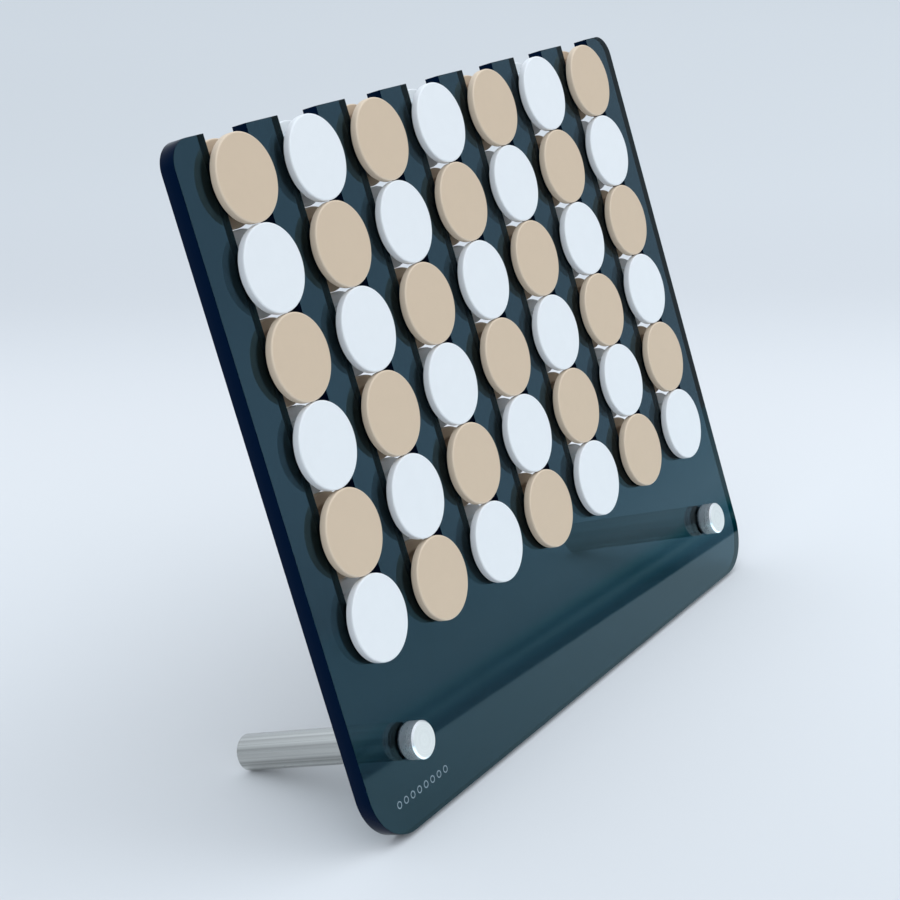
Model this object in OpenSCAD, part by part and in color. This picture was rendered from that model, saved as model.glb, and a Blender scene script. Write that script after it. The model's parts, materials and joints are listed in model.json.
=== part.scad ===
// Four in a row frame: a leaning slotted board on two standoff legs, full of sliding spools.
// Millimetres. +X to the player's right, -Y out of the board's front, +Z up.
// The origin lies on the table, under the middle of the whole object's box.

/* [Board] */
// Width of the board
board_w = 293; // [288:1:330]
// Length of the board measured up its face
board_h = 238; // [236:1:260]
// Thickness of the sheet
board_t = 6; // [4:0.5:10]
// Lean of the board back from upright, in degrees
lean = 18; // [10:1:25]
// Radius of the two upper corners
top_corner_r = 9; // [2:0.5:14]
// Radius of the two lower corners
bottom_corner_r = 19; // [2:0.5:40]

/* [Slots] */
// Number of slots side by side
columns = 7; // [3:1:7]
// Number of playing pieces in a full slot
rows = 6; // [2:1:6]
// Distance between the middles of neighbouring slots
column_pitch = 39.2; // [34:0.2:40]
// Width of a slot
slot_w = 21.8; // [21.4:0.2:25]
// Height of the lowest piece's middle above the board's lower edge
first_row_v = 71.2; // [60:0.2:72]

/* [Playing pieces] */
// Diameter of the two round cheeks of a piece
piece_d = 29.8; // [26:0.2:30]
// Thickness of each cheek
cheek_t = 3; // [2:0.2:4]
// Radius of the rounded rim of a cheek
rim_r = 0.6; // [0.2:0.1:0.9]
// Diameter of the hub that runs in the slot
hub_d = 20.8; // [16:0.2:21]
// Gap between each cheek and the board
cheek_gap = 0.3; // [0.2:0.1:1]
// Gap between one piece and the next, and under the lowest hub
rest_gap = 0.2; // [0.1:0.05:0.5]

/* [Legs] */
// Diameter of the leg barrels and their front caps
leg_d = 13; // [10:0.1:16]
// Reach of a leg behind the board, with its washer
leg_l = 66; // [50:0.5:90]
// Distance of each leg from the middle of the board
leg_u = 118.3; // [80:0.1:122]
// Length of a front cap
cap_l = 5.8; // [5:0.1:9]
// Chamfer round the cap's face and the barrel's free end
leg_chamfer = 0.6; // [0.2:0.1:1]
// Thickness of the clear washers in front of and behind the board
washer_t = 0.8; // [0.5:0.1:1.5]
// Diameter of the clear washers
washer_d = 12; // [9:0.1:12.6]

/* [Stud] */
// Outer diameter of the threaded stud
stud_d = 6; // [4:0.5:6]
// Spacing of the stud's thread rings
thread_pitch = 1; // [0.8:0.1:1.5]
// Depth of one thread ring
thread_depth = 0.5; // [0.2:0.1:0.6]
// Reach of the stud into the cap
stud_in_cap = 4; // [3:0.1:4.2]
// Reach of the stud into the barrel
stud_in_barrel = 14; // [8:0.5:30]
// Radial clearance of the stud in the board's hole
hole_gap = 0.4; // [0.2:0.1:1]

/* [Hidden] */
$fn = 96;
// Radial clearance between the stud's crests and the tapped bores
tap_gap = 0.05;
// Spare depth of a tapped bore past the end of the stud
tap_spare = 0.6;
// Bond line between a cheek and the hub
bond_gap = 0.05;
// How far a cutting tool runs past the face it cuts
cut = 1;
// Sides of the small circle that rounds a cheek's rim
rim_sides = 32;

// Colours: red, green, blue and, for the clear washers, opacity
acrylic_black = [0.06, 0.09, 0.11];
tan_plastic = [0.79, 0.70, 0.60];
white_plastic = [0.93, 0.94, 0.96];
cap_steel = [0.78, 0.79, 0.80];
barrel_steel = [0.72, 0.73, 0.74];
stud_steel = [0.62, 0.63, 0.65];
clear_nylon = [0.85, 0.88, 0.90, 0.6];

leg_r = leg_d / 2;
cap_r = leg_r;
piece_r = piece_d / 2;
hub_r = hub_d / 2;
slot_r = slot_w / 2;
row_pitch = piece_d + rest_gap;
last_row_v = first_row_v + (rows - 1) * row_pitch;

// The legs' lowest points and the board's lower rear edge share the table
leg_v = leg_r + (leg_l - leg_chamfer) * tan(lean);

// A slot's round end sits rest_gap under the lowest hub
slot_end_v = first_row_v + slot_r - hub_r - rest_gap;

// Reach of the cheeks and of the caps out of the board's rear and front faces
cheek_reach = cheek_gap + cheek_t;
cap_front_w = board_t + washer_t + cap_l;

// Distance along +Y of a point v up the board and w out of its rear face
function along_y(v, w) = v * sin(lean) - w * cos(lean);

front_y = min(
    along_y(0, board_t),
    along_y(leg_v - cap_r + leg_chamfer, cap_front_w),
    along_y(first_row_v - piece_r + rim_r, board_t + cheek_reach - rim_r) - rim_r
);
rear_y = max(
    along_y(board_h, 0),
    along_y(last_row_v + piece_r - rim_r, rim_r - cheek_reach) + rim_r,
    along_y(leg_v + leg_r - leg_chamfer, -leg_l),
    along_y(leg_v + leg_r, leg_chamfer - leg_l)
);
shift_y = -(front_y + rear_y) / 2;

SIDES = ["left", "right"];
LEG_PARTS = ["cap", "stud", "front_washer", "rear_washer", "barrel"];

function column_u(c) = (c - (columns + 1) / 2) * column_pitch;
function row_v(r) = first_row_v + (r - 1) * row_pitch;
function side_u(side) = (side == "left" ? -1 : 1) * leg_u;
function is_tan(c, r) = (c - 1 + rows - r) % 2 == 0;
function piece_name(c, r) = str(is_tan(c, r) ? "tan" : "white", "_piece_c", c, "_r", r);
function leg_name(side, part) = str("leg_", side, "_", part);

// The board's own axes: X along it, Y up its face from the lower edge, Z out of its rear face
module on_board() {
    translate([0, shift_y, 0])
        rotate([90 - lean, 0, 0])
            children();
}

// A round bar along Z with a chamfer at its upper end
module chamfered_bar(r, length, chamfer) {
    rotate_extrude()
        polygon([[0, 0], [r, 0], [r, length - chamfer], [r - chamfer, length], [0, length]]);
}

module corner_quarter(r) {
    intersection() {
        circle(r);
        square(r);
    }
}

module board_outline() {
    half_w = board_w / 2;
    for (side = [0, 1])
        mirror([side, 0]) {
            translate([0, bottom_corner_r])
                square([half_w, board_h - bottom_corner_r - top_corner_r]);
            square([half_w - bottom_corner_r, bottom_corner_r]);
            translate([0, board_h - top_corner_r])
                square([half_w - top_corner_r, top_corner_r]);
            translate([half_w - bottom_corner_r, bottom_corner_r])
                mirror([0, 1])
                    corner_quarter(bottom_corner_r);
            translate([half_w - top_corner_r, board_h - top_corner_r])
                corner_quarter(top_corner_r);
        }
}

module slot_cutter() {
    translate([0, slot_end_v, -cut])
        cylinder(h = board_t + 2 * cut, r = slot_r);
    translate([-slot_r, slot_end_v, -cut])
        cube([slot_w, board_h - slot_end_v + cut, board_t + 2 * cut]);
}

// One sheet with open-topped slots and a hole for each stud
module board_panel() {
    color(acrylic_black)
        on_board()
            difference() {
                linear_extrude(board_t)
                    board_outline();
                for (c = [1:columns])
                    translate([column_u(c), 0, 0])
                        slot_cutter();
                for (side = SIDES)
                    translate([side_u(side), leg_v, -cut])
                        cylinder(h = board_t + 2 * cut, r = stud_d / 2 + hole_gap);
            }
}

// Half profile of one cheek, its outer rim rounded on both edges
module cheek_profile() {
    square([piece_r - rim_r, cheek_t]);
    translate([0, rim_r])
        square([piece_r, cheek_t - 2 * rim_r]);
    for (z = [rim_r, cheek_t - rim_r])
        translate([piece_r - rim_r, z])
            circle(rim_r, $fn = rim_sides);
}

// A spool of three bonded discs: a cheek behind the board, the hub in the slot, a cheek in front
module playing_piece(c, r) {
    hub_l = board_t + 2 * (cheek_gap - bond_gap);
    color(is_tan(c, r) ? tan_plastic : white_plastic)
        on_board()
            translate([column_u(c), row_v(r), 0]) {
                for (w = [-cheek_reach, board_t + cheek_gap])
                    translate([0, 0, w])
                        rotate_extrude()
                            cheek_profile();
                translate([0, 0, bond_gap - cheek_gap])
                    cylinder(h = hub_l, r = hub_r);
            }
}

// Plain round button that closes the front of the leg, tapped from behind
module leg_cap(side) {
    color(cap_steel)
        on_board()
            translate([side_u(side), leg_v, board_t + washer_t])
                difference() {
                    chamfered_bar(cap_r, cap_l, leg_chamfer);
                    translate([0, 0, -cut])
                        cylinder(h = cut + stud_in_cap + tap_spare, r = stud_d / 2 + tap_gap);
                }
}

// Headless stud through the board, its thread drawn as rings
module leg_stud(side) {
    length = stud_in_cap + 2 * washer_t + board_t + stud_in_barrel;
    rings = floor((length - thread_pitch) / thread_pitch);
    crest_r = stud_d / 2;
    root_r = crest_r - thread_depth;
    start = (length - rings * thread_pitch) / 2;
    thread = [for (i = [0:rings - 1], half = [0, 1])
        [half == 0 ? root_r : crest_r, start + (i + half / 2) * thread_pitch]];
    color(stud_steel)
        on_board()
            translate([side_u(side), leg_v, -washer_t - stud_in_barrel])
                rotate_extrude()
                    polygon(concat([[0, 0], [root_r, 0]], thread, [[root_r, length], [0, length]]));
}

// Clear ring that keeps the metal off the sheet
module leg_washer(side, w) {
    color(clear_nylon)
        on_board()
            translate([side_u(side), leg_v, w])
                difference() {
                    cylinder(h = washer_t, d = washer_d);
                    translate([0, 0, -cut])
                        cylinder(h = washer_t + 2 * cut, r = stud_d / 2 + hole_gap);
                }
}

// Straight bar that props the board, tapped at its front end
module leg_barrel(side) {
    barrel_l = leg_l - washer_t;
    color(barrel_steel)
        on_board()
            translate([side_u(side), leg_v, -washer_t])
                mirror([0, 0, 1])
                    difference() {
                        chamfered_bar(leg_r, barrel_l, leg_chamfer);
                        translate([0, 0, -cut])
                            cylinder(h = cut + stud_in_barrel + tap_spare, r = stud_d / 2 + tap_gap);
                    }
}

board_panel();
for (side = SIDES) {
    leg_cap(side);
    leg_stud(side);
    leg_washer(side, board_t);
    leg_washer(side, -washer_t);
    leg_barrel(side);
}
for (c = [1:columns], r = [1:rows])
    playing_piece(c, r);
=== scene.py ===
"""Looks of the four in a row frame: a smoked acrylic board on brushed standoff legs, full of matte spools."""
import json
import math

import bmesh
import bpy
from mathutils import Matrix, Vector


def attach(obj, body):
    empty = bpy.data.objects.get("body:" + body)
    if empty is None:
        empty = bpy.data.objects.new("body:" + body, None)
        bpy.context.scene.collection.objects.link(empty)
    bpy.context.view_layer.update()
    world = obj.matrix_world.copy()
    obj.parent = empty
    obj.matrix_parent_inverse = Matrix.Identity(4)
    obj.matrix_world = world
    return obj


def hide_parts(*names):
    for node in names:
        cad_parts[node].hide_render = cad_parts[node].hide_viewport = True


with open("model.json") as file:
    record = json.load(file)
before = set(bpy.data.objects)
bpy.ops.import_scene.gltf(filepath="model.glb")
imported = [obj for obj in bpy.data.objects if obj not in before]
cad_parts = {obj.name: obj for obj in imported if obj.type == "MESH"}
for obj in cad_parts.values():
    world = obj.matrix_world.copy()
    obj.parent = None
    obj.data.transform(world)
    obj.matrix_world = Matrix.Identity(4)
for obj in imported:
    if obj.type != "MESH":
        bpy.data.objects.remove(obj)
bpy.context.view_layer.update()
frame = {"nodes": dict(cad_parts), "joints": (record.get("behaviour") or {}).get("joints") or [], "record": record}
MM = 0.001

# ----------------------------------------------------- sizes that the frame's boxes lack, in metres
SLOT_W = 21.8 * MM
HUB_D = 20.8 * MM
REST_GAP = 0.2 * MM
CHEEK_T = 3.0 * MM
RIM_R = 0.6 * MM
TOP_CORNER_R = 9.0 * MM
BOTTOM_CORNER_R = 19.0 * MM
STUD_D = 6.0 * MM
HOLE_GAP = 0.4 * MM
ARRIS = 0.18 * MM
LEG_CHAMFER = 0.6 * MM
STUD_IN_CAP = 4.0 * MM
STUD_IN_BARREL = 14.0 * MM
TAP_SPARE = 0.6 * MM
TAP_GAP = 0.05 * MM
SPOOL_SIDES = 128
BAR_SIDES = 96
HUB_FILLET = 0.25 * MM
DISH_DEPTH = 0.06 * MM
DISH_RIM = 1.1 * MM
DISH_SLOPE = 0.35 * MM
BAR_REAR_R = 0.15 * MM
CHAMFER_FOOT_R = 0.2 * MM
CHAMFER_TOP_R = 0.12 * MM
# Where a playing piece's rim and side wall are painted paler as a painted highlight, and where the cheeks' colour
# takes over from the painted shade of the hub
LIT_RIM_R = (14.25 * MM, 14.75 * MM)
HUB_SHADE_R = (10.6 * MM, 11.6 * MM)
HUB_SHADE_H = (4.2 * MM, 4.6 * MM)

# ---------------------------------------------------------------- the board's own axes
# U runs along the board, V up its face (the way the pieces slide) and W out of its front
AXIS_U = Vector((1, 0, 0))
AXIS_V = Vector(frame["joints"][0]["axis"]).normalized()
AXIS_W = AXIS_U.cross(AXIS_V)
TURN = Matrix((AXIS_U, AXIS_V, AXIS_W)).transposed()


def span(node, shift=Vector((0, 0, 0))):
    """Lowest and highest corner of a CAD node along U, V and W."""
    points = [TURN.transposed() @ v.co - shift for v in frame["nodes"][node].data.vertices]
    low = Vector([min(p[i] for p in points) for i in range(3)])
    high = Vector([max(p[i] for p in points) for i in range(3)])
    return low, high


board_low, board_high = span("board_panel")
# The board's origin is the middle of its lower rear edge
ORIGIN = Vector(((board_low.x + board_high.x) / 2, board_low.y, board_low.z))
TO_ROW = Matrix.Translation(TURN @ ORIGIN) @ TURN.to_4x4()
BOARD_W, BOARD_H, BOARD_T = board_high - board_low


# ---------------------------------------------------------------- helpers for meshes
def new_object(name, mesh):
    obj = bpy.data.objects.new(name, mesh)
    bpy.context.scene.collection.objects.link(obj)
    return obj


def arc(cx, cy, r, start, end, steps):
    """Points on an arc, angles in degrees, both ends included."""
    turns = [math.radians(start + (end - start) * i / steps) for i in range(steps + 1)]
    return [(cx + r * math.cos(t), cy + r * math.sin(t)) for t in turns]


def flatten(mesh):
    """Shade the faces square to Z flat, so the fillets round them don't bend the light across them."""
    for face in mesh.polygons:
        if abs(face.normal.z) > 0.99999:
            face.use_smooth = False


def revolve(name, profile, segments):
    """A closed mesh turned about Z from (radius, height) points; a radius of zero becomes one vertex."""
    bm = bmesh.new()
    rings = []
    for r, z in profile:
        if r < 1e-9:
            rings.append([bm.verts.new((0, 0, z))])
            continue
        angles = [2 * math.pi * i / segments for i in range(segments)]
        rings.append([bm.verts.new((r * math.cos(a), r * math.sin(a), z)) for a in angles])
    pairs = list(zip(rings, rings[1:]))
    if len(rings[0]) > 1:
        pairs.append((rings[-1], rings[0]))
    for a, b in pairs:
        for i in range(segments):
            j = (i + 1) % segments
            corners = [a[i], a[j], b[j], b[i]] if len(a) > 1 and len(b) > 1 else (
                [a[0], b[j], b[i]] if len(b) > 1 else [a[i], a[j], b[0]])
            bm.faces.new(corners)
    bmesh.ops.recalc_face_normals(bm, faces=bm.faces)
    mesh = bpy.data.meshes.new(name)
    bm.to_mesh(mesh)
    bm.free()
    mesh.shade_smooth()
    mesh.set_sharp_from_angle(angle=math.radians(32))
    flatten(mesh)
    return mesh


def rounded(corner, before, after, r, steps=4):
    """Points of a fillet of radius r at corner, between the directions to before and to after."""
    c, a, b = Vector(corner), Vector(before), Vector(after)
    to_a, to_b = (a - c).normalized(), (b - c).normalized()
    half = to_a.angle(to_b) / 2
    reach = r / math.tan(half)
    centre = c + (to_a + to_b).normalized() * (r / math.sin(half))
    first, last = c + to_a * reach - centre, c + to_b * reach - centre
    total = first.angle_signed(last)
    points = []
    for i in range(steps + 1):
        turn = Matrix.Rotation(-total * i / steps, 2)
        points.append(tuple(centre + turn @ first))
    return points


# ---------------------------------------------------------------- helpers for materials
class Nodes:
    """A material's node tree with short calls for adding and linking nodes."""

    def __init__(self, name):
        self.material = bpy.data.materials.new(name)
        self.material.use_nodes = True
        self.tree = self.material.node_tree
        self.shader = self.tree.nodes["Principled BSDF"]

    def add(self, kind, **settings):
        node = self.tree.nodes.new(kind)
        for key, value in settings.items():
            setattr(node, key, value)
        return node

    def set(self, **values):
        for key, value in values.items():
            self.shader.inputs[key.replace("_", " ")].default_value = value

    def link(self, source, target):
        self.tree.links.new(source, target)

    def coordinates(self, scale):
        where = self.add("ShaderNodeTexCoord")
        mapping = self.add("ShaderNodeMapping")
        mapping.inputs["Scale"].default_value = scale
        self.link(where.outputs["Object"], mapping.inputs["Vector"])
        return mapping.outputs["Vector"]

    def noise(self, vector, scale, detail=4.0, roughness=0.55, distortion=0.0):
        node = self.add("ShaderNodeTexNoise")
        node.inputs["Scale"].default_value = scale
        node.inputs["Detail"].default_value = detail
        node.inputs["Roughness"].default_value = roughness
        node.inputs["Distortion"].default_value = distortion
        self.link(vector, node.inputs["Vector"])
        return node.outputs["Fac"]

    def remap(self, value, low, high, to_low, to_high):
        node = self.add("ShaderNodeMapRange")
        for key, number in zip(("From Min", "From Max", "To Min", "To Max"), (low, high, to_low, to_high)):
            node.inputs[key].default_value = number
        self.link(value, node.inputs["Value"])
        return node.outputs["Result"]

    def blend(self, factor, first, second):
        """Mix two colours, each given as three numbers or as another node's output."""
        node = self.add("ShaderNodeMix", data_type="RGBA")
        self.link(factor, node.inputs[0])
        for colour, target in ((first, node.inputs[6]), (second, node.inputs[7])):
            if isinstance(colour, tuple):
                target.default_value = (*colour, 1)
            else:
                self.link(colour, target)
        return node.outputs[2]

    def about_axis(self):
        """Distance of a point from the object's Z axis, and its height along that axis."""
        where = self.add("ShaderNodeTexCoord")
        split = self.add("ShaderNodeSeparateXYZ")
        self.link(where.outputs["Object"], split.inputs[0])
        flat = self.add("ShaderNodeCombineXYZ")
        self.link(split.outputs[0], flat.inputs[0])
        self.link(split.outputs[1], flat.inputs[1])
        radius = self.add("ShaderNodeVectorMath", operation="LENGTH")
        self.link(flat.outputs[0], radius.inputs[0])
        return radius.outputs["Value"], split.outputs[2]

    def bump(self, height, strength, distance, before=None):
        node = self.add("ShaderNodeBump")
        node.inputs["Strength"].default_value = strength
        node.inputs["Distance"].default_value = distance
        self.link(height, node.inputs["Height"])
        if before is not None:
            self.link(before, node.inputs["Normal"])
        return node.outputs["Normal"]


# ---------------------------------------------------------------- materials
def acrylic():
    """Smoked acrylic: a dark gloss with faint waviness and handling marks, and a little light let through."""
    n = Nodes("acrylic_face")
    n.set(Base_Color=(0.0003, 0.0008, 0.0012, 1), IOR=1.46)
    n.set(Specular_IOR_Level=0.12, Specular_Tint=(0.15, 0.85, 1.0, 1))
    near = n.coordinates((1, 1, 1))
    waves = n.noise(near, 22, detail=1.0)
    marks = n.noise(n.coordinates((1, 0.12, 1)), 900, detail=3.0)
    smudges = n.noise(near, 28, detail=5.0, distortion=0.6)
    rough = n.add("ShaderNodeMath", operation="ADD")
    n.link(n.remap(smudges, 0.45, 0.75, 0.02, 0.05), rough.inputs[0])
    n.link(n.remap(marks, 0.55, 0.8, 0.0, 0.02), rough.inputs[1])
    n.link(rough.outputs[0], n.shader.inputs["Roughness"])
    ripple = n.bump(waves, 0.05, 0.0004)
    n.link(ripple, n.shader.inputs["Normal"])
    through = n.add("ShaderNodeBsdfRefraction")
    through.inputs["Color"].default_value = (0.176, 0.246, 0.288, 1)
    through.inputs["IOR"].default_value = 1.49
    n.link(rough.outputs[0], through.inputs["Roughness"])
    n.link(ripple, through.inputs["Normal"])
    both = n.add("ShaderNodeAddShader")
    n.link(n.shader.outputs[0], both.inputs[0])
    n.link(through.outputs[0], both.inputs[1])
    n.link(both.outputs[0], n.tree.nodes["Material Output"].inputs["Surface"])
    return n.material


def acrylic_edge():
    """The sheet's cut edges, polished less than its faces, with the cutter's fine lines across them."""
    n = Nodes("acrylic_cut_edge")
    n.set(Base_Color=(0.0, 0.003, 0.017, 1), IOR=1.49)
    n.set(Specular_IOR_Level=0.08, Specular_Tint=(0.1, 0.6, 1.0, 1))
    lines = n.noise(n.coordinates((1, 1, 0.02)), 1500, detail=2.0)
    n.link(n.remap(lines, 0.3, 0.7, 0.1, 0.26), n.shader.inputs["Roughness"])
    n.link(n.bump(lines, 0.12, 0.00004), n.shader.inputs["Normal"])
    return n.material


def matte_plastic(name, colour, lit_rim_colour, hub_shade_colour):
    """Satin moulded plastic with a fine grain and faint mottling, a painted highlight on its rim and painted shade
    on its hub.
    """
    n = Nodes(name)
    n.set(IOR=1.46, Specular_IOR_Level=0.2)
    own = n.add("ShaderNodeObjectInfo")
    shifted = n.add("ShaderNodeVectorMath", operation="ADD")
    n.link(n.coordinates((1, 1, 1)), shifted.inputs[0])
    n.link(own.outputs["Random"], shifted.inputs[1])
    near = shifted.outputs["Vector"]
    mottle = n.noise(near, 180, detail=6.0)
    darker = tuple(c * 0.985 for c in colour)
    base = n.blend(n.remap(mottle, 0.35, 0.7, 0.0, 1.0), darker, colour)
    radius, height = n.about_axis()
    # The rim and side wall painted paler than the face: a painted highlight
    with_lit_rim = n.blend(n.remap(radius, *LIT_RIM_R, 0.0, 1.0), base, lit_rim_colour)
    # The hub between the cheeks painted darker: painted shade
    inner = n.blend(n.remap(radius, *HUB_SHADE_R, 0.0, 1.0), hub_shade_colour, with_lit_rim)
    off_middle = n.add("ShaderNodeMath", operation="ABSOLUTE")
    n.link(height, off_middle.inputs[0])
    outer = n.remap(off_middle.outputs[0], *HUB_SHADE_H, 0.0, 1.0)
    n.link(n.blend(outer, inner, with_lit_rim), n.shader.inputs["Base Color"])
    grain = n.noise(near, 5200, detail=2.0)
    soft = n.noise(near, 700, detail=3.0)
    n.link(n.remap(soft, 0.3, 0.7, 0.44, 0.58), n.shader.inputs["Roughness"])
    fine = n.bump(grain, 0.25, 0.00003)
    n.link(n.bump(soft, 0.12, 0.00005, before=fine), n.shader.inputs["Normal"])
    return n.material


def brushed_metal(name, along, scale, base, satin=0.2, turned=0.0, dark=0.8, metal=1.0):
    """Steel whose brush marks run where along is near zero; scale is their fineness and dark their depth."""
    n = Nodes(name)
    n.set(Metallic=metal, Anisotropic=turned, Anisotropic_Rotation=0.25)
    marks = n.noise(n.coordinates(along), scale, detail=3.0, roughness=0.7)
    stains = n.noise(n.coordinates((1, 1, 1)), 160, detail=4.0)
    darker = tuple(c * dark for c in base)
    n.link(n.blend(n.remap(marks, 0.3, 0.7, 0.0, 1.0), darker, base), n.shader.inputs["Base Color"])
    rough = n.add("ShaderNodeMath", operation="ADD")
    n.link(n.remap(marks, 0.25, 0.75, satin, satin + 0.1), rough.inputs[0])
    n.link(n.remap(stains, 0.4, 0.7, 0.0, 0.05), rough.inputs[1])
    n.link(rough.outputs[0], n.shader.inputs["Roughness"])
    n.link(n.bump(marks, 0.12, 0.00002), n.shader.inputs["Normal"])
    if turned:
        around = n.add("ShaderNodeTangent", direction_type="RADIAL", axis="Z")
        n.link(around.outputs["Tangent"], n.shader.inputs["Tangent"])
    return n.material


def turned_face():
    """The cap's end face: rings left by the lathe tool round its axis."""
    n = Nodes("turned_steel_face")
    n.set(Metallic=0.1, Specular_IOR_Level=0.2)
    radius, _ = n.about_axis()
    rings = n.add("ShaderNodeTexNoise", noise_dimensions="1D")
    rings.inputs["Scale"].default_value = 5200
    rings.inputs["Detail"].default_value = 2
    n.link(radius, rings.inputs["W"])
    fac = rings.outputs["Fac"]
    n.link(n.blend(n.remap(fac, 0.3, 0.7, 0.0, 1.0), (0.64, 0.63, 0.60), (0.75, 0.74, 0.71)),
           n.shader.inputs["Base Color"])
    n.link(n.remap(fac, 0.3, 0.7, 0.26, 0.36), n.shader.inputs["Roughness"])
    n.link(n.bump(fac, 0.2, 0.00003), n.shader.inputs["Normal"])
    return n.material


def clear_nylon():
    """Cloudy nylon of the washers."""
    n = Nodes("clear_nylon")
    n.set(Base_Color=(0.30, 0.34, 0.38, 1), IOR=1.5, Transmission_Weight=0.6)
    cloud = n.noise(n.coordinates((1, 1, 1)), 900, detail=3.0)
    n.link(n.remap(cloud, 0.3, 0.7, 0.12, 0.3), n.shader.inputs["Roughness"])
    n.link(n.bump(cloud, 0.1, 0.00003), n.shader.inputs["Normal"])
    return n.material


def printed_ink():
    """Pale screen-printed ink, slightly uneven."""
    n = Nodes("printed_ink")
    grain = n.noise(n.coordinates((1, 1, 1)), 2400, detail=3.0)
    n.link(n.blend(n.remap(grain, 0.35, 0.7, 0.0, 1.0), (0.12, 0.16, 0.19), (0.21, 0.27, 0.30)),
           n.shader.inputs["Base Color"])
    n.link(n.remap(grain, 0.3, 0.7, 0.42, 0.6), n.shader.inputs["Roughness"])
    return n.material


# ---------------------------------------------------------------- the board
def piece_grid():
    """(body, node, colour, U, V) of every playing piece, from the frame."""
    found = []
    for body, members in frame["record"]["behaviour"]["bodies"].items():
        if not body.startswith("piece_"):
            continue
        low, high = span(members[0], ORIGIN)
        middle = (low + high) / 2
        found.append((body, members[0], members[0].split("_")[0], middle.x, middle.y))
    return found


PIECES = piece_grid()
COLUMNS = sorted({round(u, 5) for _, _, _, u, _ in PIECES})
FIRST_ROW_V = min(v for *_, v in PIECES)
some_low, some_high = span(PIECES[0][1], ORIGIN)
PIECE_D = some_high.x - some_low.x
CHEEK_REACH = -some_low.z
leg_low, leg_high = span("leg_left_barrel", ORIGIN)
LEG_R = (leg_high.x - leg_low.x) / 2
LEG_V = (leg_low.y + leg_high.y) / 2
LEG_U = -(leg_low.x + leg_high.x) / 2


def board_outline():
    """The board's edge as one closed line of points, anticlockwise from the lower left."""
    half = BOARD_W / 2
    end_v = FIRST_ROW_V + SLOT_W / 2 - HUB_D / 2 - REST_GAP
    top, low = TOP_CORNER_R, BOTTOM_CORNER_R
    points = arc(-half + low, low, low, 180, 270, 24)
    points += arc(half - low, low, low, 270, 360, 24)
    points += arc(half - top, BOARD_H - top, top, 0, 90, 16)
    for u in reversed(COLUMNS):
        points.append((u + SLOT_W / 2, BOARD_H))
        points += arc(u, end_v, SLOT_W / 2, 0, -180, 40)
        points.append((u - SLOT_W / 2, BOARD_H))
    points += arc(-half + top, BOARD_H - top, top, 90, 180, 16)
    return points


def spline(curve, points):
    line = curve.splines.new("POLY")
    line.points.add(len(points) - 1)
    for point, (x, y) in zip(line.points, points):
        point.co = (x, y, 0, 1)
    line.use_cyclic_u = True


def make_board(face, edge):
    """The slotted sheet with its arrises just broken; the curve's fill cuts the slots and the stud holes."""
    curve = bpy.data.curves.new("board", "CURVE")
    curve.dimensions = "2D"
    curve.fill_mode = "BOTH"
    curve.extrude = BOARD_T / 2 - ARRIS
    curve.bevel_depth = ARRIS
    curve.bevel_resolution = 2
    curve.offset = -ARRIS
    spline(curve, board_outline())
    for side in (-1, 1):
        hole = arc(side * LEG_U, LEG_V, STUD_D / 2 + HOLE_GAP, 0, 360, 48)[:-1]
        spline(curve, hole)
    source = new_object("board_curve", curve)
    bpy.context.view_layer.update()
    mesh = bpy.data.meshes.new_from_object(source.evaluated_get(bpy.context.evaluated_depsgraph_get()))
    bpy.data.objects.remove(source)
    bm = bmesh.new()
    bm.from_mesh(mesh)
    bmesh.ops.remove_doubles(bm, verts=bm.verts, dist=2e-6)
    bmesh.ops.recalc_face_normals(bm, faces=bm.faces)
    bm.to_mesh(mesh)
    bm.free()
    mesh.name = "board_sheet"
    mesh.materials.clear()
    mesh.materials.append(face)
    mesh.materials.append(edge)
    for f in mesh.polygons:
        f.material_index = 0 if abs(f.normal.z) > 0.5 else 1
        f.use_smooth = True
    mesh.set_sharp_from_angle(angle=math.radians(40))
    flatten(mesh)
    board = new_object("board_sheet", mesh)
    board.matrix_world = TO_ROW @ Matrix.Translation((0, 0, BOARD_T / 2))
    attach(board, "board")
    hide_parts("board_panel")
    return board


def make_mark(ink):
    """A plain row of printed rings near the lower left corner."""
    ring_r, ring_wall, height = 1.3 * MM, 0.38 * MM, 0.03 * MM
    start_u, mark_v, pitch, count = -132.6 * MM, 11.0 * MM, 4.1 * MM, 8
    mesh = bpy.data.meshes.new("printed_mark")
    bm = bmesh.new()
    steps = 48
    for k in range(count):
        cu = start_u + k * pitch
        loops = []
        for r, z in ((ring_r, 0), (ring_r, height), (ring_r - ring_wall, height), (ring_r - ring_wall, 0)):
            loops.append([bm.verts.new((x, y, z)) for x, y in arc(cu, mark_v, r, 0, 360, steps)[:-1]])
        for a, b in zip(loops, loops[1:] + loops[:1]):
            for i in range(steps):
                j = (i + 1) % steps
                bm.faces.new((a[i], a[j], b[j], b[i]))
    bmesh.ops.recalc_face_normals(bm, faces=bm.faces)
    bm.to_mesh(mesh)
    bm.free()
    mesh.materials.append(ink)
    mark = new_object("printed_mark", mesh)
    mark.matrix_world = TO_ROW @ Matrix.Translation((0, 0, BOARD_T))
    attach(mark, "board")
    return mark


# ---------------------------------------------------------------- playing pieces
def spool_profile():
    """Half outline of a playing piece about its middle: two rounded cheeks and the hub between them."""
    r, hub = PIECE_D / 2, HUB_D / 2
    outer = BOARD_T / 2 + CHEEK_REACH
    inner = outer - CHEEK_T
    dish_r, dish = r - DISH_RIM, DISH_DEPTH
    half = [(0, outer - dish), (dish_r * 0.7, outer - dish)]
    half += [(dish_r, outer - dish * 0.85), (dish_r + DISH_SLOPE, outer)]
    half += rounded((r, outer), (0, outer), (r, inner), RIM_R, 6)
    half += rounded((r, inner), (r, outer), (hub, inner), RIM_R, 6)
    half += rounded((hub, inner), (r, inner), (hub, 0), HUB_FILLET, 3)
    return half + [(x, -z) for x, z in reversed(half)]


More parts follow.
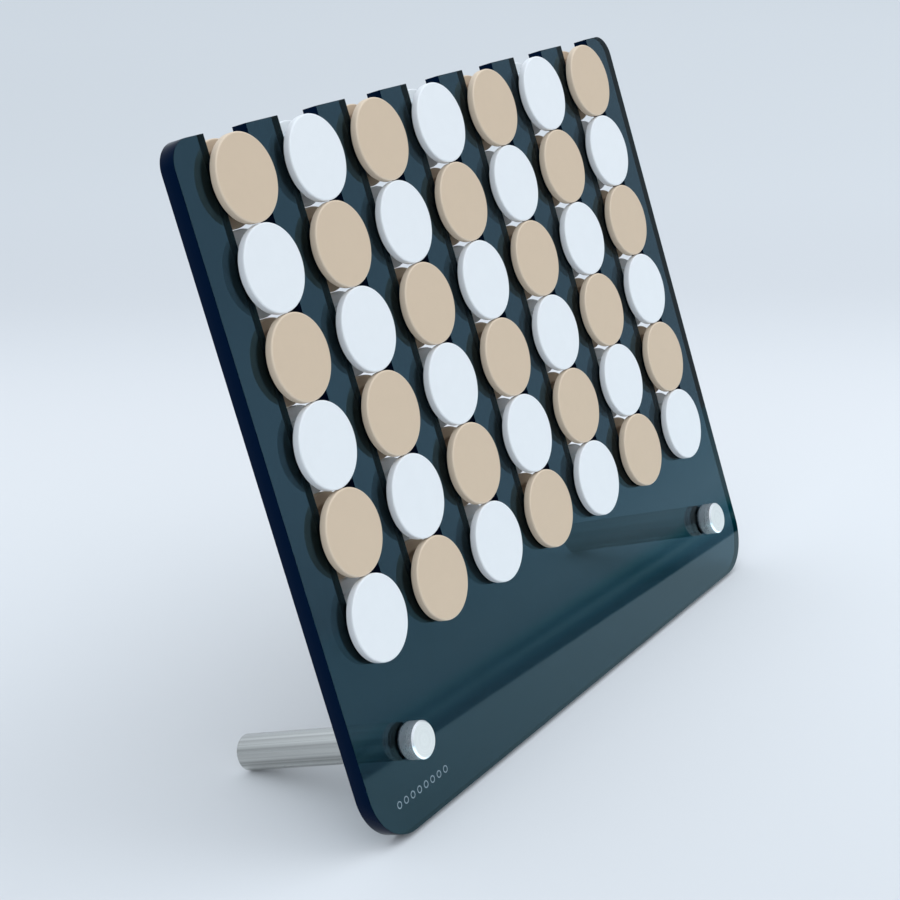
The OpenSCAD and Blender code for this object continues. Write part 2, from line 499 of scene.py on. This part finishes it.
def make_pieces(tan, white):
    mesh = {}
    for colour, plastic in (("tan", tan), ("white", white)):
        mesh[colour] = revolve(f"{colour}_spool", spool_profile(), SPOOL_SIDES)
        mesh[colour].materials.append(plastic)
    for body, node, colour, u, v in PIECES:
        piece = new_object(f"{colour}_spool_{body[6:]}", mesh[colour])
        piece.matrix_world = TO_ROW @ Matrix.Translation((u, v, BOARD_T / 2))
        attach(piece, body)
        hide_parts(node)


# ---------------------------------------------------------------- legs
def bar_profile(length, stud_depth):
    """Half outline of a cap or barrel, its end against the board at zero: tapped bore, chamfered free end."""
    r, c = LEG_R, LEG_CHAMFER
    bore_r, bore_end = STUD_D / 2 + TAP_GAP, stud_depth + TAP_SPARE
    return ([(0, bore_end), (bore_r, bore_end), (bore_r, 0)]
            + rounded((r, 0), (0, 0), (r, length), BAR_REAR_R, 3)
            + rounded((r, length - c), (r, 0), (r - c, length), CHAMFER_FOOT_R, 3)
            + rounded((r - c, length), (r, length - c), (0, length), CHAMFER_TOP_R, 3)
            + [(0, length)])


def turned_bar(side, kind, stud_depth, side_steel, face_steel):
    """A leg's cap or barrel in its place on the board, with its own material on its free end."""
    low, high = span(f"leg_{side}_{kind}", ORIGIN)
    length = high.z - low.z
    shape = revolve(f"{side}_{kind}", bar_profile(length, stud_depth), BAR_SIDES)
    bar = new_object(f"{side}_{kind}_turned", shape)
    bar.data.materials.append(side_steel)
    bar.data.materials.append(face_steel)
    for f in bar.data.polygons:
        if f.normal.z > 0.9 and f.center.z > length * 0.9:
            f.material_index = 1
    u = (low.x + high.x) / 2
    away = Matrix.Identity(4) if kind == "cap" else Matrix.Rotation(math.pi, 4, "X")
    start = low.z if kind == "cap" else high.z
    bar.matrix_world = TO_ROW @ Matrix.Translation((math.copysign(LEG_U, u), LEG_V, start)) @ away
    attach(bar, "board")
    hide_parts(f"leg_{side}_{kind}")


def give_material(obj, material):
    """Put one material in every slot of a CAD node, on the object and not on its mesh."""
    for slot in obj.material_slots:
        slot.link = "OBJECT"
        slot.material = material


def make_legs(cap_steel, barrel_steel, face_steel, thread_steel, nylon):
    for side in ("left", "right"):
        turned_bar(side, "cap", STUD_IN_CAP, cap_steel, face_steel)
        turned_bar(side, "barrel", STUD_IN_BARREL, barrel_steel, face_steel)
        for part, material in (("stud", thread_steel), ("front_washer", nylon), ("rear_washer", nylon)):
            give_material(frame["nodes"][f"leg_{side}_{part}"], material)


# ---------------------------------------------------------------- stage, light and camera
# The table's tone, with painted shade and light standing in for how the light falls across it, changes along this
# level direction from the origin
FAR_DIRECTION = (0.850, 0.527, 0)
# Level distance along it from the origin in metres, and the table's colour there, painted shade included
TABLE_SHADE_TONES = (
    (-0.20, (0.600, 0.603, 0.609)),
    (-0.05, (0.652, 0.655, 0.662)),
    (0.05, (0.659, 0.662, 0.669)),
    (0.18, (0.652, 0.652, 0.654)),
    (0.32, (0.645, 0.640, 0.642)),
    (0.45, (0.603, 0.605, 0.611)),
    (0.60, (0.532, 0.534, 0.543)),
    (0.90, (0.551, 0.558, 0.566)),
    (1.20, (0.539, 0.546, 0.553)),
    (2.00, (0.556, 0.564, 0.571)),
    (4.00, (0.592, 0.600, 0.608)),
)


def ramp(n, value, stops, low, high, blend="B_SPLINE"):
    """A colour ramp over a length; stops are (length, colour) pairs and low and high are its two ends."""
    node = n.add("ShaderNodeValToRGB")
    node.color_ramp.interpolation = blend
    elements = node.color_ramp.elements
    while len(elements) < len(stops):
        elements.new(0.5)
    for element, (at, colour) in zip(elements, stops):
        element.position = (at - low) / (high - low)
        element.color = (*colour, 1)
    n.link(n.remap(value, low, high, 0.0, 1.0), node.inputs[0])
    return node.outputs[0]


def along(n, direction):
    """Distance of a point from the object's origin along a direction."""
    where = n.add("ShaderNodeTexCoord")
    dot = n.add("ShaderNodeVectorMath", operation="DOT_PRODUCT")
    dot.inputs[1].default_value = direction
    n.link(where.outputs["Object"], dot.inputs[0])
    return dot.outputs["Value"]


def disc_mesh(name, radii, steps=96):
    bm = bmesh.new()
    loops = [[bm.verts.new((0, 0, 0))]]
    for r in radii:
        loops.append([bm.verts.new((x, y, 0)) for x, y in arc(0, 0, r, 0, 360, steps)[:-1]])
    for a, b in zip(loops, loops[1:]):
        for i in range(steps):
            j = (i + 1) % steps
            bm.faces.new((a[0], b[i], b[j]) if len(a) == 1 else (a[i], b[i], b[j], a[j]))
    mesh = bpy.data.meshes.new(name)
    bm.to_mesh(mesh)
    bm.free()
    return mesh


def make_floor():
    """A plain pale table whose tone drifts slowly along one direction, painted darker near the front and in a band
    further off as painted shade.
    """
    mesh = disc_mesh("table", (0.15, 0.3, 0.5, 0.8, 1.3, 2.2, 4.0, 9.0))
    floor = new_object("table", mesh)
    n = Nodes("pale_table")
    # The ramp paints shade and light across the table
    n.link(ramp(n, along(n, FAR_DIRECTION), TABLE_SHADE_TONES, -0.4, 4.0), n.shader.inputs["Base Color"])
    n.set(Roughness=1.0, Specular_IOR_Level=0.0)
    mesh.materials.append(n.material)
    return floor


# What the board's front mirrors. The table's front edge runs through this point in this direction.
EDGE_POINT = (0, -0.255)
EDGE_DIRECTION = (0.922, 0.387)
ROOM_DEPTH = 3.0
ROOM_HALF_LENGTH = 4.0
# The mirrored part of the table is a triangle: its ends along the edge, and how far back its third corner is
TABLE_LEFT, TABLE_RIGHT, TABLE_BACK = -1.76, 0.55, 0.968
# Distance past the edge in metres, less than zero on the table, and the light there
ROOM_TONES = (
    (-0.300, (1.60, 2.15, 2.45)),
    (-0.002, (1.68, 2.24, 2.56)),
    (0.002, (0.00, 0.36, 0.50)),
    (0.022, (0.00, 0.28, 0.40)),
    (0.036, (0.00, 0.34, 0.46)),
    (0.062, (0.00, 0.52, 0.72)),
    (0.093, (0.36, 1.00, 1.20)),
    (0.106, (0.36, 1.04, 1.24)),
    (0.125, (0.02, 0.62, 0.80)),
    (0.148, (0.00, 0.52, 0.70)),
    (0.170, (0.14, 0.82, 1.00)),
    (0.200, (0.38, 1.08, 1.26)),
    (0.260, (0.80, 1.28, 1.54)),
    (0.450, (0.94, 1.40, 1.64)),
    (1.000, (0.78, 1.24, 1.48)),
    (2.000, (0.62, 1.02, 1.24)),
)


def make_room():
    """A glowing sheet over the table's front and the room past it, which only reflections see."""
    length, depth, height = ROOM_HALF_LENGTH, ROOM_DEPTH, 0.5 * MM
    mesh = bpy.data.meshes.new("room_in_reflections")
    past = [(-length, 0, 0), (length, 0, 0), (length, -depth, 0), (-length, -depth, 0)]
    near = [(TABLE_LEFT, 0, 0), (TABLE_RIGHT, 0, 0), (TABLE_LEFT, TABLE_BACK, 0)]
    mesh.from_pydata(past + near, [], [(3, 2, 1, 0), (4, 5, 6)])
    room = new_object("room_in_reflections", mesh)
    room.location = (*EDGE_POINT, height)
    room.rotation_euler.z = math.atan2(EDGE_DIRECTION[1], EDGE_DIRECTION[0])
    n = Nodes("room_in_reflections")
    # The glow paints the board's reflections: the table's mirrored front brighter than the table itself, and dark
    # and light bands past its edge
    glow = n.add("ShaderNodeEmission")
    n.link(ramp(n, along(n, (0, -1, 0)), ROOM_TONES, -0.4, 2.0, "LINEAR"), glow.inputs["Color"])
    output = n.tree.nodes["Material Output"]
    n.link(glow.outputs[0], output.inputs["Surface"])
    n.tree.nodes.remove(n.shader)
    mesh.materials.append(n.material)
    room.visible_camera = False
    room.visible_diffuse = False
    room.visible_shadow = False
    room.visible_transmission = False


def area_light(name, at, aim, size, power, colour):
    data = bpy.data.lights.new(name, "AREA")
    data.shape = "RECTANGLE"
    data.size, data.size_y = size
    data.energy = power
    data.color = colour
    light = new_object(name, data)
    light.location = at
    light.rotation_euler = (Vector(aim) - Vector(at)).to_track_quat("-Z", "Y").to_euler()
    light.visible_camera = False
    light.visible_glossy = False
    return light


# The sky's light at the horizon and from SKY_HIGH_AT of the way up
SKY_LOW, SKY_HIGH, SKY_HIGH_AT = (0.60, 0.665, 0.73), (1.03, 1.125, 1.23), 0.8
LAMP_COLOUR = (0.93, 1.0, 1.06)


def make_light(floor):
    """A soft sky, one large lamp, a weak one at the side, and a shadowless one for the table alone."""
    world = bpy.data.worlds.new("soft_room")
    bpy.context.scene.world = world
    world.use_nodes = True
    tree = world.node_tree
    where = tree.nodes.new("ShaderNodeTexCoord")
    split = tree.nodes.new("ShaderNodeSeparateXYZ")
    tones = tree.nodes.new("ShaderNodeValToRGB")
    elements = tones.color_ramp.elements
    elements[0].position, elements[0].color = 0.0, (*SKY_LOW, 1)
    elements[1].position, elements[1].color = SKY_HIGH_AT, (*SKY_HIGH, 1)
    tree.links.new(where.outputs["Generated"], split.inputs[0])
    tree.links.new(split.outputs[2], tones.inputs[0])
    tree.links.new(tones.outputs[0], tree.nodes["Background"].inputs["Color"])
    sky = bpy.data.lights.new("overhead_fill", "SUN")
    sky.energy = 0.36
    sky.angle = math.radians(60)
    sky.color = (0.92, 1.0, 1.08)
    sky.use_shadow = False
    fill = new_object("overhead_fill", sky)
    fill.rotation_euler = Vector((0.35, -0.25, -1)).to_track_quat("-Z", "Y").to_euler()
    lit = bpy.data.collections.new("lit_by_overhead_fill")
    lit.objects.link(floor)
    fill.light_linking.receiver_collection = lit
    area_light("key", (1.3, -1.2, 2.0), (0, 0, 0.05), (2.1, 2.1), 20, LAMP_COLOUR)
    area_light("side_fill", (-1.6, 0.1, 0.8), (0, 0, 0.1), (1.0, 1.0), 3, LAMP_COLOUR)


def make_camera():
    """A long lens from above the board's front left corner, level to within a degree."""
    at, aim = Vector((-0.6079, -0.3534, 0.3315)), Vector((-0.0373, 0.0, 0.1013))
    data = bpy.data.cameras.new("camera")
    data.sensor_width = 36
    data.lens = 78.0
    camera = new_object("camera", data)
    roll = Matrix.Rotation(math.radians(-0.86), 4, "Z")
    turn = (aim - at).to_track_quat("-Z", "Y").to_matrix().to_4x4()
    camera.matrix_world = Matrix.Translation(at) @ turn @ roll
    bpy.context.scene.camera = camera


make_board(acrylic(), acrylic_edge())
make_mark(printed_ink())
# Each plastic: its own colour, the paler colour of the painted highlight on the rim, and the darker colour of the
# painted shade on the hub
make_pieces(
    matte_plastic("tan_plastic", (0.608, 0.468, 0.335), (0.715, 0.575, 0.435), (0.25, 0.17, 0.112)),
    matte_plastic("white_plastic", (0.762, 0.766, 0.766), (0.79, 0.795, 0.80), (0.72, 0.77, 0.79)),
)
make_legs(
    brushed_metal("turned_cap_side", (0, 0, 1), 2600, (0.84, 0.85, 0.85), satin=0.22, turned=0.6, metal=0.8),
    brushed_metal("drawn_barrel_side", (1, 1, 0.002), 420, (0.68, 0.685, 0.66), satin=0.16, dark=0.5),
    turned_face(),
    brushed_metal("stud_steel", (0.2, 0.2, 1), 2600, (0.45, 0.46, 0.47)),
    clear_nylon(),
)
table = make_floor()
make_room()
make_light(table)
make_camera()
bpy.context.scene.view_settings.view_transform = "Standard"
